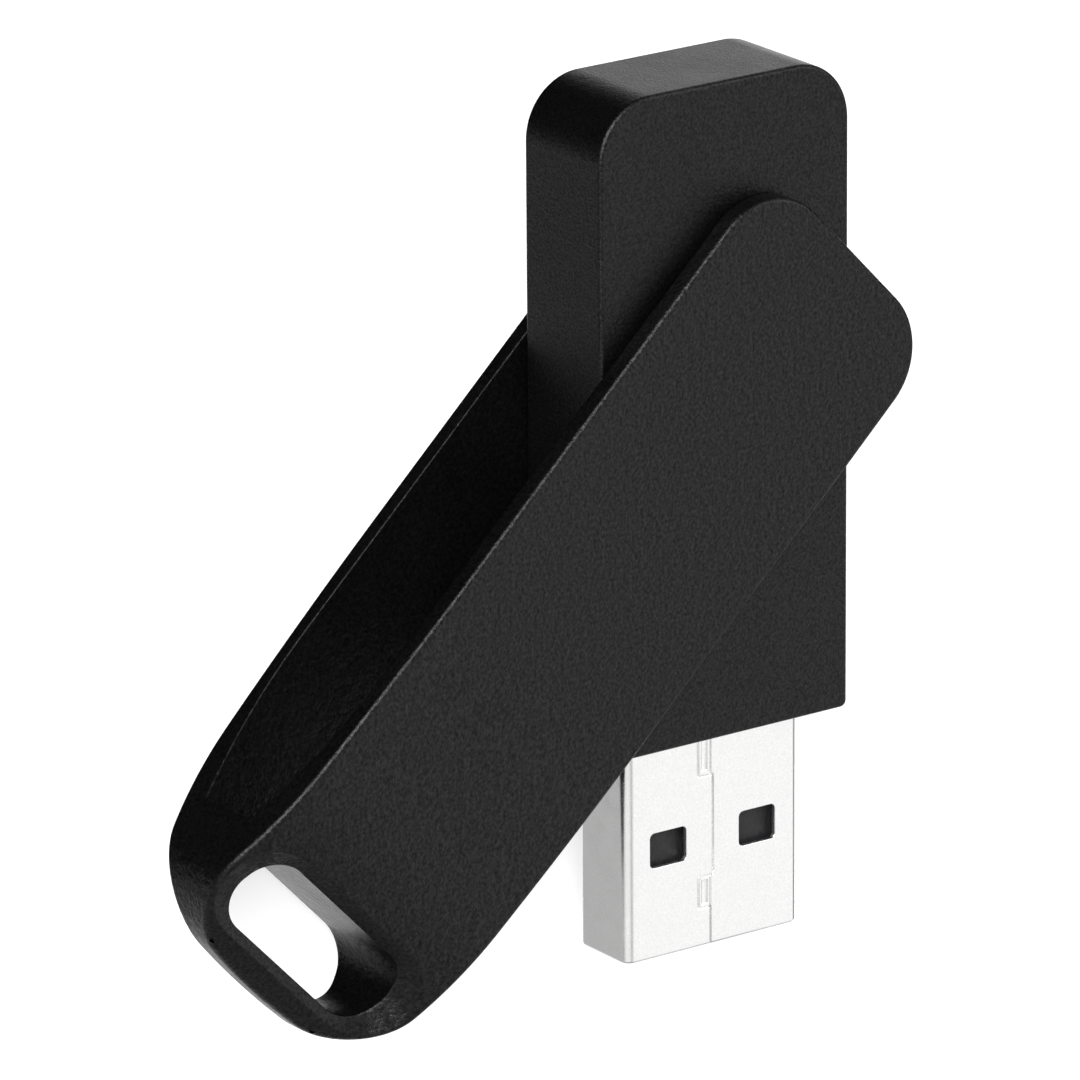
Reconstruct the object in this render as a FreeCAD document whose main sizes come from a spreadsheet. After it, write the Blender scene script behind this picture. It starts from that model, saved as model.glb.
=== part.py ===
import FreeCAD, Part
import math
import os
import Sketcher
from FreeCAD import Placement, Rotation, Vector

# A swivel flash drive: a sealed drive body with a type A plug, held at its middle by a painted cast
# clip that turns all the way round it and covers the plug when closed.
# +X runs along the drive towards the plug, +Y across it, +Z up through its thickness. The origin is the
# foot of the pivot axis on the clip's flat underside. Every sub-part is drawn about the mid-plane of its
# thickness and is raised by half the clip's thickness.

SIZES = {
    # drive body
    "body_length": 37.7,
    "body_width": 16.9,
    "body_thickness": 7.0,
    "body_corner_radius": 3.5,
    "body_edge_radius": 0.25,
    "mouth_corner_radius": 0.4,
    "sleeve_wall": 0.9,
    "end_wall": 1.2,
    "pivot_to_plug_face": 19.3,
    # swivel clip, measured from the pivot axis
    "clip_angle": 46.4,
    "clip_width": 16.6,
    "plate_wall": 1.15,
    "plate_gap": 0.45,
    "clip_reach": 10.8,
    "clip_open_radius": 4.2,
    "clip_end_corner": 4.5,
    "clip_end_bulge": 45.0,
    "clip_edge_radius": 0.25,
    "tip_clearance": 2.7,
    "floor_wall": 0.5,
    "ring_bar": 1.85,
    "lean_start": 18.6,
    "nose_start": 4.1,
    "lean_drop": 0.45,
    "nose_radius": 20.0,
    "channel_bend_start": 10.6,
    "channel_floor_height": 4.4,
    # key ring slot and the dish round it
    "slot_width": 4.3,
    "slot_length": 12.6,
    "slot_radius": 2.1,
    "dish_lead": 0.85,
    "dish_width": 6.2,
    "dish_length": 15.0,
    "dish_radius": 2.9,
    "dish_depth": 0.5,
    # pivot
    "stud_diameter": 3.0,
    "stud_seat": 0.5,
    "bush_diameter": 5.0,
    "bush_flange_diameter": 7.0,
    "bush_inside": 0.3,
    "running_clearance": 0.05,
    "flange_clearance": 0.08,
    # plug
    "plug_width": 12.0,
    "plug_thickness": 4.5,
    "plug_reach": 12.6,
    "plug_wall": 0.3,
    "plug_corner_radius": 0.6,
    "plug_tip_radius": 0.2,
    "plug_seat": 6.3,
    "window_from_tip": 5.35,
    "window_length": 2.05,
    "window_width": 2.5,
    "window_corner": 0.3,
    "window_spacing": 6.14,
    "seam_width": 0.08,
    "seam_offset": 0.15,
    "seam_step": 0.8,
    "seam_shift": 0.17,
    "first_tab_from_tip": 2.2,
    "tab_length": 2.0,
    "second_tab_from_tip": 10.0,
    "tongue_thickness": 1.84,
    "tongue_setback": 0.5,
    "block_length": 7.4,
    "recess_depth": 0.35,
    "recess_margin": 0.25,
    "contact_width": 1.0,
    "contact_thickness": 0.2,
    "contact_proud": 0.05,
    "contact_tail": 1.5,
    # inside
    "cap_thickness": 1.5,
    "cap_setback": 0.3,
    "board_side_gap": 0.55,
    "board_back_gap": 1.6,
    "board_corner_radius": 2.7,
    "board_thickness": 0.8,
    "rail_gap": 0.3,
    "rail_top": 1.4,
    "rail_back_cover": 0.35,
    "solder_length": 0.6,
    "controller_gap": 1.0,
    "controller_side": 7.0,
    "controller_thickness": 0.85,
    "memory_length": 18.4,
    "memory_width": 12.0,
    "memory_thickness": 1.0,
    "memory_standoff": 0.1,
    "lead_reach": 0.8,
    "lead_pitch": 0.5,
    "lead_width": 0.22,
    "lead_thickness": 0.13,
}

# Sizes that follow from the ones above: what encloses a piece is worked out from it and a clearance.
CLIP_THICKNESS = "(body_thickness + 2 * plate_gap + 2 * plate_wall)"
INNER_GAP = "(body_thickness + 2 * plate_gap)"
PLUG_BACK = "(pivot_to_plug_face - plug_seat)"
PLUG_TIP = "(pivot_to_plug_face + plug_reach)"
CHANNEL_FLOOR = f"({PLUG_TIP} + tip_clearance)"
SLOT_NEAR = f"({CHANNEL_FLOOR} + floor_wall)"
CLIP_END = f"({SLOT_NEAR} + slot_width + ring_bar)"
DISH_NEAR = f"({SLOT_NEAR} - dish_lead)"
LEAN_START = f"({CHANNEL_FLOOR} - lean_start)"
LEAN_END = f"({CHANNEL_FLOOR} - nose_start)"
LEAN_RADIUS = "(((lean_start - nose_start)^2 + lean_drop^2) / (2 * lean_drop))"
LEAN_SINE = f"((lean_start - nose_start) / {LEAN_RADIUS})"
LEAN_HEIGHT = f"({CLIP_THICKNESS} / 2 - lean_drop)"
NOSE_CENTRE_X = f"({LEAN_END} - nose_radius * {LEAN_SINE})"
NOSE_CENTRE_Z = f"({LEAN_HEIGHT} - nose_radius * sqrt(1 - {LEAN_SINE}^2))"
SLEEVE_BACK = "(pivot_to_plug_face - body_length)"
CAVITY_BACK = f"({SLEEVE_BACK} + end_wall)"
CAVITY_HEIGHT = "(body_thickness - 2 * sleeve_wall)"
CAVITY_HALF = "(body_width / 2 - sleeve_wall)"
CAVITY_CORNER = "(body_corner_radius - sleeve_wall)"
CAP_BACK = "(pivot_to_plug_face - cap_setback - cap_thickness)"
SHELL_INSIDE = "(plug_thickness / 2 - plug_wall)"
TONGUE_UNDERSIDE = f"({SHELL_INSIDE} - tongue_thickness)"
TONGUE_TIP = f"({PLUG_TIP} - tongue_setback)"
BOARD_TOP = f"({TONGUE_UNDERSIDE} - contact_proud)"
BOARD_UNDERSIDE = f"({BOARD_TOP} - board_thickness)"
BOARD_BACK = f"({CAVITY_BACK} + board_back_gap)"
BOARD_HALF = f"({CAVITY_HALF} - board_side_gap)"
RAIL_INSIDE = "(max(plug_width; memory_width) / 2 + rail_gap)"

# Each contact's place across the tongue and its front end's distance from the tongue's tip. The power
# pair reaches further forward, so that it makes contact first.
CONTACTS = {
    "vbus": (-3.5, 1.0),
    "dminus": (-1.0, 2.0),
    "dplus": (1.0, 2.0),
    "gnd": (3.5, 1.0),
}

doc = FreeCAD.newDocument("swivel_drive")
dims = doc.addObject("Spreadsheet::Sheet", "dims")
for row, (name, size) in enumerate(SIZES.items(), start=1):
    dims.set(f"A{row}", name)
    dims.set(f"B{row}", str(size))
    dims.setAlias(f"B{row}", name)
doc.recompute()


def words(expression):
    """An expression in the sheet's aliases, with the sheet's name put before each alias."""
    out = ""
    word = ""
    for letter in str(expression) + " ":
        if letter.isalnum() or letter == "_":
            word += letter
            continue
        out += f"dims.{word}" if word in SIZES else word
        out += letter
        word = ""
    return out.strip()


def value(expression):
    """The number that an expression in the sheet's aliases comes to now."""
    return float(dims.evalExpression(words(expression)))


def bind(item, settings):
    """Bind properties of an object to expressions in the sheet's aliases."""
    for name, expression in settings.items():
        item.setExpression(name, words(expression))


def new_body(label):
    """A body about the drive's mid-plane, raised to its height above the underside."""
    body = doc.addObject("PartDesign::Body", label)
    body.Label = label
    bind(body, {"Placement.Base.z": f"{CLIP_THICKNESS} / 2"})
    return body


def new_sketch(body, name, role):
    """An empty sketch on one of the body's own origin planes."""
    sketch = body.newObject("Sketcher::SketchObject", name)
    plane = [item for item in body.Origin.OriginFeatures if item.Role == role]
    sketch.AttachmentSupport = [(plane[0], "")]
    sketch.MapMode = "FlatFace"
    return sketch


def pin(sketch, geometry, point, x, y):
    """Hold a point of a sketch at two expressions, measured from the sketch's origin."""
    for kind, expression in (("DistanceX", x), ("DistanceY", y)):
        row = sketch.addConstraint(Sketcher.Constraint(kind, -1, 1, geometry, point, value(expression)))
        bind(sketch, {f"Constraints[{row}]": expression})


def outline(sketch, corners):
    """Close a wire through corners (x, y). A third value is the radius of an arc that arrives there,
    negative when it turns clockwise."""
    starts = []
    for index, corner in enumerate(corners):
        before = corners[index - 1]
        first = Vector(value(before[0]), value(before[1]), 0)
        last = Vector(value(corner[0]), value(corner[1]), 0)
        if len(corner) == 2:
            line = sketch.addGeometry(Part.LineSegment(first, last))
            starts.append((line, 1, 2))
            continue
        radius = value(corner[2])
        chord = last - first
        side = Vector(-chord.y, chord.x, 0).normalize() * math.copysign(1, radius)
        rise = math.sqrt(radius ** 2 - chord.Length ** 2 / 4)
        centre = (first + last) / 2 + side * rise
        low, high = (first, last) if radius > 0 else (last, first)
        angles = [math.atan2((spot - centre).y, (spot - centre).x) for spot in (low, high)]
        circle = Part.Circle(centre, Vector(0, 0, 1), abs(radius))
        arc = sketch.addGeometry(Part.ArcOfCircle(circle, angles[0], angles[1]))
        row = sketch.addConstraint(Sketcher.Constraint("Radius", arc, abs(radius)))
        bind(sketch, {f"Constraints[{row}]": corner[2] if radius > 0 else f"-({corner[2]})"})
        starts.append((arc, 1, 2) if radius > 0 else (arc, 2, 1))
    for index, corner in enumerate(corners):
        here = starts[index]
        after = starts[(index + 1) % len(corners)]
        sketch.addConstraint(Sketcher.Constraint("Coincident", here[0], here[2], after[0], after[1]))
        pin(sketch, here[0], here[2], corner[0], corner[1])


def box_outline(sketch, x_low, x_high, y_low, y_high):
    """A rectangle between four expressions."""
    outline(sketch, [(x_low, y_low), (x_high, y_low), (x_high, y_high), (x_low, y_high)])


def round_box_outline(sketch, x_low, x_high, half, radius, middle="0"):
    """A rectangle with round corners, even about a line along the sketch's first axis."""
    r = f"({radius})"
    low = f"{middle} - ({half})"
    high = f"{middle} + ({half})"
    outline(sketch, [
        (f"{x_high} - {r}", low),
        (x_high, f"{low} + {r}", radius),
        (x_high, f"{high} - {r}"),
        (f"{x_high} - {r}", high, radius),
        (f"{x_low} + {r}", high),
        (x_low, f"{high} - {r}", radius),
        (x_low, f"{low} + {r}"),
        (f"{x_low} + {r}", low, radius),
    ])


def round_back_outline(sketch, x_low, x_high, half, radius):
    """A rectangle whose two corners at the low end are round, even about the sketch's first axis."""
    outline(sketch, [
        (f"{x_low} + {radius}", f"-({half})", radius),
        (x_high, f"-({half})"),
        (x_high, half),
        (f"{x_low} + {radius}", half),
        (x_low, f"{half} - {radius}", radius),
        (x_low, f"{radius} - {half}"),
    ])


def circle_outline(sketch, diameter, x="0", y="0"):
    """A circle about a point given by two expressions."""
    centre = Vector(value(x), value(y), 0)
    ring = sketch.addGeometry(Part.Circle(centre, Vector(0, 0, 1), value(diameter) / 2))
    row = sketch.addConstraint(Sketcher.Constraint("Diameter", ring, value(diameter)))
    bind(sketch, {f"Constraints[{row}]": diameter})
    pin(sketch, ring, 3, x, y)


def even_feature(body, kind, sketch, name, length):
    """A pad or pocket that reaches the same distance to both sides of its sketch."""
    feature = body.newObject(f"PartDesign::{kind}", name)
    feature.Profile = sketch
    feature.SideType = "Symmetric"
    bind(feature, {"Length": length})
    doc.recompute()
    return feature


def even_pad(body, sketch, name, length):
    return even_feature(body, "Pad", sketch, name, length)


def even_pocket(body, sketch, name, length):
    volume = body.Shape.Volume
    feature = even_feature(body, "Pocket", sketch, name, length)
    if body.Shape.Volume > volume - 1e-4:
        raise RuntimeError(f"{name} cuts nothing")
    return feature


def meets_sharply(shape, edge):
    """True where the two faces at an edge turn by more than a few degrees."""
    faces = shape.ancestorsOfType(edge, Part.Face)
    if len(faces) < 2:
        return False
    middle = edge.valueAt((edge.FirstParameter + edge.LastParameter) / 2)
    normals = [face.normalAt(*face.Surface.parameter(middle)) for face in faces[:2]]
    return normals[0].getAngle(normals[1]) > math.radians(12)


def round_edges(body, name, radius, wanted):
    """Round the sharp edges of the body so far that a test of their middle point picks."""
    shape = body.Tip.Shape
    names = []
    for index, edge in enumerate(shape.Edges, start=1):
        middle = edge.valueAt((edge.FirstParameter + edge.LastParameter) / 2)
        if wanted(middle) and meets_sharply(shape, edge):
            names.append(f"Edge{index}")
    fillet = body.newObject("PartDesign::Fillet", name)
    fillet.Base = (body.Tip if fillet is not body.Tip else fillet.BaseFeature, names)
    bind(fillet, {"Radius": radius})
    doc.recompute()
    return fillet


# ---------------------------------------------------------------- swivel clip

def clip_plan(body):
    """The clip seen from above: round corners at the open end, a broad bow at the key ring end."""
    half = "clip_width / 2"
    bow = f"({CLIP_END} - clip_end_bulge)"
    bow_less_corner = "(clip_end_bulge - clip_end_corner)"
    rise = f"({half} - clip_end_corner)"
    run = f"sqrt({bow_less_corner}^2 - {rise}^2)"
    meet_x = f"{bow} + {run} * clip_end_bulge / {bow_less_corner}"
    meet_y = f"{rise} * clip_end_bulge / {bow_less_corner}"
    sketch = new_sketch(body, "clip_plan", "XY_Plane")
    outline(sketch, [
        ("clip_open_radius - clip_reach", f"-({half})", "clip_open_radius"),
        (f"{bow} + {run}", f"-({half})"),
        (meet_x, f"-({meet_y})", "clip_end_corner"),
        (meet_x, meet_y, "clip_end_bulge"),
        (f"{bow} + {run}", half, "clip_end_corner"),
        ("clip_open_radius - clip_reach", half),
        ("-clip_reach", f"{half} - clip_open_radius", "clip_open_radius"),
        ("-clip_reach", f"clip_open_radius - {half}"),
    ])
    return sketch


def taper_cuts(body):
    """The plates lean in from the flat and close towards each other at the key ring end."""
    past_end = f"({CLIP_END} + 1)"
    past_top = f"({CLIP_THICKNESS} / 2 + 1)"
    nose_height = f"{NOSE_CENTRE_Z} + sqrt(nose_radius^2 - ({past_end} - {NOSE_CENTRE_X})^2)"
    sketch = new_sketch(body, "taper_profile", "XZ_Plane")
    for side, turn in (("", "-"), ("-", "")):
        outline(sketch, [
            (LEAN_START, f"{side}{past_top}"),
            (LEAN_START, f"{side}{CLIP_THICKNESS} / 2"),
            (LEAN_END, f"{side}{LEAN_HEIGHT}", f"{turn}{LEAN_RADIUS}"),
            (past_end, f"{side}({nose_height})", f"{turn}nose_radius"),
            (past_end, f"{side}{past_top}"),
        ])
    return even_pocket(body, sketch, "taper", "clip_width * 2")


def channel_cut(body):
    """The space between the plates, which turns round the drive and holds the plug when closed."""
    mouth = "-clip_reach - 1"
    half = f"({INNER_GAP} / 2)"
    bend_start = f"({CHANNEL_FLOOR} - channel_bend_start)"
    drop = f"({half} - channel_floor_height / 2)"
    bend = f"(channel_bend_start^2 + {drop}^2) / (2 * {drop})"
    sketch = new_sketch(body, "channel_profile", "XZ_Plane")
    outline(sketch, [
        (mouth, f"-{half}"),
        (bend_start, f"-{half}"),
        (CHANNEL_FLOOR, "-channel_floor_height / 2", bend),
        (CHANNEL_FLOOR, "channel_floor_height / 2"),
        (bend_start, half, bend),
        (mouth, half),
    ])
    return even_pocket(body, sketch, "channel", "clip_width * 2")


def slot_cut(body):
    """The slot through the closed end that takes a key ring or a strap."""
    sketch = new_sketch(body, "slot_outline", "XY_Plane")
    round_box_outline(sketch, SLOT_NEAR, f"{SLOT_NEAR} + slot_width", "slot_length / 2", "slot_radius")
    return even_pocket(body, sketch, "slot", f"{CLIP_THICKNESS} * 2")


def dish_section(body, name, share):
    """The dish's outline at a share of the way from its rim to the slot's edge, on a plane that lies
    along the curved face and is lower by the same share of the dish's depth."""
    middle = f"({DISH_NEAR} + dish_width / 2)"
    sine = f"(({middle} - {NOSE_CENTRE_X}) / nose_radius)"
    cosine = f"sqrt(1 - {sine}^2)"
    surface = f"{NOSE_CENTRE_Z} + nose_radius * {cosine}"
    crown = "dish_width^2 / (8 * nose_radius)"
    part_way = f"-{crown} / dish_depth" if share == "crown" else share
    depth = f"({crown} + dish_depth * ({part_way}))"

    def between(rim, edge):
        return f"({rim} + (({edge}) - ({rim})) * ({part_way}))"

    near = between(DISH_NEAR, SLOT_NEAR)
    far = between(f"({DISH_NEAR} + dish_width)", f"{SLOT_NEAR} + slot_width")
    half = between("dish_length / 2", "slot_length / 2")
    radius = between("dish_radius", "slot_radius")
    sketch = new_sketch(body, name, "XY_Plane")
    sketch.AttachmentOffset = Placement(Vector(0, 0, 0), Rotation(Vector(0, 1, 0), 20))
    bind(sketch, {
        "AttachmentOffset.Base.x": f"{middle} - {depth} * {sine}",
        "AttachmentOffset.Base.z": f"{surface} - {depth} * {cosine}",
        "AttachmentOffset.Rotation.Angle": f"asin({sine})",
    })
    along = [f"(({spot} - {middle} + {depth} * {sine}) / {cosine})" for spot in (near, far)]
    round_box_outline(sketch, along[0], along[1], half, radius)
    return sketch


def dish_cuts(body):
    """The pressed dish that leads a ring into the slot, the same on both faces."""
    rim = dish_section(body, "dish_rim", "crown")
    foot = dish_section(body, "dish_foot", "1.3")
    volume = body.Shape.Volume
    dish = body.newObject("PartDesign::SubtractiveLoft", "dish")
    dish.Profile = rim
    dish.Sections = [foot]
    doc.recompute()
    mirror = body.newObject("PartDesign::Mirrored", "dish_below")
    mirror.Originals = [dish]
    plane = [item for item in body.Origin.OriginFeatures if item.Role == "XY_Plane"]
    mirror.MirrorPlane = (plane[0], [""])
    body.Tip = mirror
    doc.recompute()
    if body.Shape.Volume > volume - 1e-3:
        raise RuntimeError("the dish cuts nothing")


def make_swivel_clip():
    """One die casting: two plates that meet at the key ring end."""
    body = new_body("swivel_clip")
    even_pad(body, clip_plan(body), "clip_blank", CLIP_THICKNESS)
    taper_cuts(body)
    round_edges(body, "clip_edges", "clip_edge_radius", lambda middle: True)
    channel_cut(body)
    slot_cut(body)
    dish_cuts(body)
    seats = new_sketch(body, "stud_seats", "XY_Plane")
    circle_outline(seats, "stud_diameter")
    even_pocket(body, seats, "seats", f"{INNER_GAP} + 2 * stud_seat")
    body.Placement = Placement(body.Placement.Base, Rotation(Vector(0, 0, 1), -1))
    bind(body, {"Placement.Rotation.Angle": "-clip_angle"})
    return body


# ---------------------------------------------------------------- drive body

def make_body_sleeve():
    """The drive's one-piece shell: flat faces, a rounded back end, an open mouth for the plug."""
    body = new_body("body_sleeve")
    half = "body_width / 2"
    plan = new_sketch(body, "sleeve_plan", "XY_Plane")
    outline(plan, [
        (f"{SLEEVE_BACK} + body_corner_radius", f"-({half})", "body_corner_radius"),
        ("pivot_to_plug_face - mouth_corner_radius", f"-({half})"),
        ("pivot_to_plug_face", f"mouth_corner_radius - {half}", "mouth_corner_radius"),
        ("pivot_to_plug_face", f"{half} - mouth_corner_radius"),
        ("pivot_to_plug_face - mouth_corner_radius", half, "mouth_corner_radius"),
        (f"{SLEEVE_BACK} + body_corner_radius", half),
        (SLEEVE_BACK, f"{half} - body_corner_radius", "body_corner_radius"),
        (SLEEVE_BACK, f"body_corner_radius - {half}"),
    ])
    even_pad(body, plan, "sleeve_blank", "body_thickness")
    round_edges(body, "sleeve_edges", "body_edge_radius", lambda middle: True)
    cavity = new_sketch(body, "cavity_plan", "XY_Plane")
    round_back_outline(cavity, CAVITY_BACK, "pivot_to_plug_face + 1", CAVITY_HALF, CAVITY_CORNER)
    even_pocket(body, cavity, "cavity", CAVITY_HEIGHT)
    bores = new_sketch(body, "bush_bores", "XY_Plane")
    circle_outline(bores, "bush_diameter")
    even_pocket(body, bores, "bores", "body_thickness * 2")
    return body


def revolve(label, profile, side):
    """A turned piece about the pivot axis; side is 1 above the mid-plane and -1 below it."""
    body = new_body(label)
    sketch = new_sketch(body, f"{label}_profile", "XZ_Plane")
    flip = "" if side > 0 else "-"
    outline(sketch, [(x, f"{flip}({z})") for x, z in profile])
    turned = body.newObject("PartDesign::Revolution", f"{label}_turned")
    turned.Profile = sketch
    turned.ReferenceAxis = (sketch, ["V_Axis"])
    turned.Angle = 360
    doc.recompute()
    return body


def make_pivot(side, name):
    """A moulded bush pressed in the sleeve's wall, and the steel stud that turns in it."""
    sleeve_face = "body_thickness / 2"
    inner_end = f"{sleeve_face} - sleeve_wall - bush_inside"
    flange_face = f"{sleeve_face} + plate_gap - flange_clearance"
    bore = "stud_diameter / 2 + running_clearance"
    barrel = "bush_diameter / 2"
    revolve(f"pivot_bush_{name}", [
        (bore, inner_end),
        (barrel, inner_end),
        (barrel, sleeve_face),
        ("bush_flange_diameter / 2", sleeve_face),
        ("bush_flange_diameter / 2", flange_face),
        (bore, flange_face),
    ], side)
    shank = "stud_diameter / 2"
    seat = f"{INNER_GAP} / 2 + stud_seat"
    revolve(f"pivot_stud_{name}", [
        ("0", inner_end),
        (f"{shank} - 0.3", inner_end),
        (shank, f"{inner_end} + 0.3"),
        (shank, seat),
        ("0", seat),
    ], side)


def make_end_cap():
    """The moulded plate that closes the sleeve's mouth round the plug."""
    body = new_body("end_cap")
    face = new_sketch(body, "cap_plan", "XY_Plane")
    box_outline(face, CAP_BACK, "pivot_to_plug_face - cap_setback", f"-{CAVITY_HALF}", CAVITY_HALF)
    even_pad(body, face, "cap_plate", CAVITY_HEIGHT)
    window = new_sketch(body, "plug_opening", "YZ_Plane")
    round_box_outline(window, "-plug_width / 2", "plug_width / 2", "plug_thickness / 2",
                      "plug_corner_radius")
    even_pocket(body, window, "opening", "body_length * 2")
    return body


# ---------------------------------------------------------------- plug

def make_plug_shell():
    """The plug's sheet metal shell, folded round and closed by a seam with two locking tabs."""
    body = new_body("plug_shell")
    blank = new_sketch(body, "shell_section", "YZ_Plane")
    blank.AttachmentOffset = Placement(Vector(0, 0, 1), Rotation())
    bind(blank, {"AttachmentOffset.Base.z": PLUG_BACK})
    round_box_outline(blank, "-plug_width / 2", "plug_width / 2", "plug_thickness / 2",
                      "plug_corner_radius")
    pad = body.newObject("PartDesign::Pad", "shell_blank")
    pad.Profile = blank
    bind(pad, {"Length": "plug_seat + plug_reach"})
    doc.recompute()
    tip = value(PLUG_TIP)
    round_edges(body, "tip_edges", "plug_tip_radius", lambda middle: middle.x > tip - 0.01)
    hollow = new_sketch(body, "shell_hollow", "YZ_Plane")
    round_box_outline(hollow, "plug_wall - plug_width / 2", "plug_width / 2 - plug_wall",
                      "plug_thickness / 2 - plug_wall", "plug_corner_radius - plug_wall")
    even_pocket(body, hollow, "hollow", "(pivot_to_plug_face + plug_reach) * 3")
    windows = new_sketch(body, "shell_windows", "XY_Plane")
    far = f"{PLUG_TIP} - window_from_tip"
    for side in ("-", ""):
        round_box_outline(windows, f"{far} - window_length", far, "window_width / 2", "window_corner",
                          f"{side}window_spacing / 2")
    even_pocket(body, windows, "windows", "plug_thickness * 2")
    seam_cut(body)
    return body


def seam_cut(body):
    """The seam along the upper face: a hairline that steps aside round each locking tab."""
    sketch = new_sketch(body, "seam_path", "XY_Plane")
    sketch.AttachmentOffset = Placement(Vector(0, 0, 1), Rotation())
    bind(sketch, {"AttachmentOffset.Base.z": "plug_thickness / 2"})
    legs = [("first_tab_from_tip", "seam_offset"),
            ("first_tab_from_tip + tab_length", "seam_offset - seam_step"),
            ("second_tab_from_tip", "seam_offset + seam_shift"),
            ("plug_reach + 1", "seam_offset - seam_step")]
    near = [(f"{PLUG_TIP} + 1", legs[0][1])]
    far = [(f"{PLUG_TIP} + 1", f"{legs[0][1]} + seam_width")]
    for leg, after in zip(legs, legs[1:] + [None]):
        ends = [leg[1]] if after is None else [leg[1], after[1]]
        steps_down = after is not None and value(after[1]) < value(leg[1])
        shift = "0" if after is None else ("seam_width" if steps_down else "-seam_width")
        for across in ends:
            near.append((f"{PLUG_TIP} - ({leg[0]})", across))
            far.append((f"{PLUG_TIP} - ({leg[0]}) - ({shift})", f"{across} + seam_width"))
    outline(sketch, near + far[::-1])
    cut_down(body, sketch, "seam", "plug_wall + 0.05")


def cut_down(body, sketch, name, depth, reverse=False):
    """A pocket against its sketch's normal, or along it when reversed."""
    volume = body.Shape.Volume
    pocket = body.newObject("PartDesign::Pocket", name)
    pocket.Profile = sketch
    pocket.Reversed = reverse
    bind(pocket, {"Length": depth})
    doc.recompute()
    if body.Shape.Volume > volume - 1e-4:
        raise RuntimeError(f"{name} cuts nothing")


def contact_section(body, name, across):
    """A contact's section, at the height of the board's upper face."""
    sketch = new_sketch(body, name, "YZ_Plane")
    box_outline(sketch, f"{across} - contact_width / 2", f"{across} + contact_width / 2",
                BOARD_TOP, f"{BOARD_TOP} + contact_thickness")
    return sketch


def make_plug_insulator():
    """The moulded block in the plug and its tongue, hollowed behind the windows and grooved below."""
    body = new_body("plug_insulator")
    block_front = f"{PLUG_BACK} + block_length"
    profile = new_sketch(body, "block_profile", "XZ_Plane")
    outline(profile, [
        (PLUG_BACK, f"-{SHELL_INSIDE}"),
        (block_front, f"-{SHELL_INSIDE}"),
        (block_front, TONGUE_UNDERSIDE),
        (TONGUE_TIP, TONGUE_UNDERSIDE),
        (TONGUE_TIP, SHELL_INSIDE),
        (PLUG_BACK, SHELL_INSIDE),
    ])
    even_pad(body, profile, "block", "plug_width - 2 * plug_wall")
    inside = value(SHELL_INSIDE) - 0.01
    side = value("plug_width / 2 - plug_wall") - 0.01
    round_edges(body, "block_edges", "plug_corner_radius - plug_wall",
                lambda middle: abs(middle.z) > inside and abs(middle.y) > side)
    recesses = new_sketch(body, "window_recesses", "XY_Plane")
    recesses.AttachmentOffset = Placement(Vector(0, 0, 1), Rotation())
    bind(recesses, {"AttachmentOffset.Base.z": SHELL_INSIDE})
    far = f"{PLUG_TIP} - window_from_tip"
    for sign in ("-", ""):
        middle = f"{sign}window_spacing / 2"
        reach = "(window_width / 2 + recess_margin)"
        box_outline(recesses, f"{far} - window_length - recess_margin", f"{far} + recess_margin",
                    f"{middle} - {reach}", f"{middle} + {reach}")
    cut_down(body, recesses, "recesses", "recess_depth")
    for name, (across, setback) in CONTACTS.items():
        groove = contact_section(body, f"groove_{name}", across)
        cut_down(body, groove, f"cut_{name}", f"{TONGUE_TIP} - {setback}", reverse=True)
    return body


def make_contact(name, across, setback):
    """A stamped, plated strip in a groove of the tongue, with its tail soldered to the board."""
    body = new_body(f"contact_{name}")
    section = contact_section(body, f"contact_{name}_section", across)
    section.AttachmentOffset = Placement(Vector(0, 0, 1), Rotation())
    bind(section, {"AttachmentOffset.Base.z": f"{PLUG_BACK} - contact_tail"})
    pad = body.newObject("PartDesign::Pad", f"contact_{name}_strip")
    pad.Profile = section
    bind(pad, {"Length": f"{TONGUE_TIP} - {setback} - {PLUG_BACK} + contact_tail"})
    doc.recompute()
    return body


# ---------------------------------------------------------------- inside the sleeve

def board_plan(body, name):
    """The board's outline, in the middle of its thickness."""
    sketch = new_sketch(body, name, "XY_Plane")
    sketch.AttachmentOffset = Placement(Vector(0, 0, 1), Rotation())
    bind(sketch, {"AttachmentOffset.Base.z": f"{BOARD_TOP} - board_thickness / 2"})
    round_back_outline(sketch, BOARD_BACK, PLUG_BACK, BOARD_HALF, "board_corner_radius")
    return sketch


def make_circuit_board():
    """The glass-fibre board, from the plug's back to the sleeve's rounded end."""
    body = new_body("circuit_board")
    even_pad(body, board_plan(body, "board_outline"), "board", "board_thickness")
    return body


def make_board_carrier():
    """The moulded tray that slides into the sleeve: two rails with a groove for the board's edges."""
    body = new_body("board_carrier")
    plan = new_sketch(body, "carrier_plan", "XY_Plane")
    round_back_outline(plan, CAVITY_BACK, CAP_BACK, CAVITY_HALF, CAVITY_CORNER)
    even_pad(body, plan, "carrier_blank", CAVITY_HEIGHT)
    middle = new_sketch(body, "carrier_middle", "XY_Plane")
    box_outline(middle, f"{BOARD_BACK} + rail_back_cover", f"{CAP_BACK} + 1", f"-{RAIL_INSIDE}", RAIL_INSIDE)
    even_pocket(body, middle, "middle", "body_thickness * 2")
    top = new_sketch(body, "carrier_top", "XZ_Plane")
    box_outline(top, f"{CAVITY_BACK} - 1", f"{CAP_BACK} + 1", "rail_top", "body_thickness")
    even_pocket(body, top, "top", "body_width * 2")
    even_pocket(body, board_plan(body, "board_groove"), "groove", "board_thickness")
    return body


def make_block(label, low, high):
    """A plain block between two corners, each given by three expressions."""
    block = doc.addObject("Part::Box", label)
    block.Label = label
    sizes = [f"{end} - ({start})" for start, end in zip(low, high)]
    bind(block, {"Length": sizes[0], "Width": sizes[1], "Height": sizes[2]})
    bind(block, {
        "Placement.Base.x": low[0],
        "Placement.Base.y": low[1],
        "Placement.Base.z": f"{CLIP_THICKNESS} / 2 + {low[2]}",
    })
    return block


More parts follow.
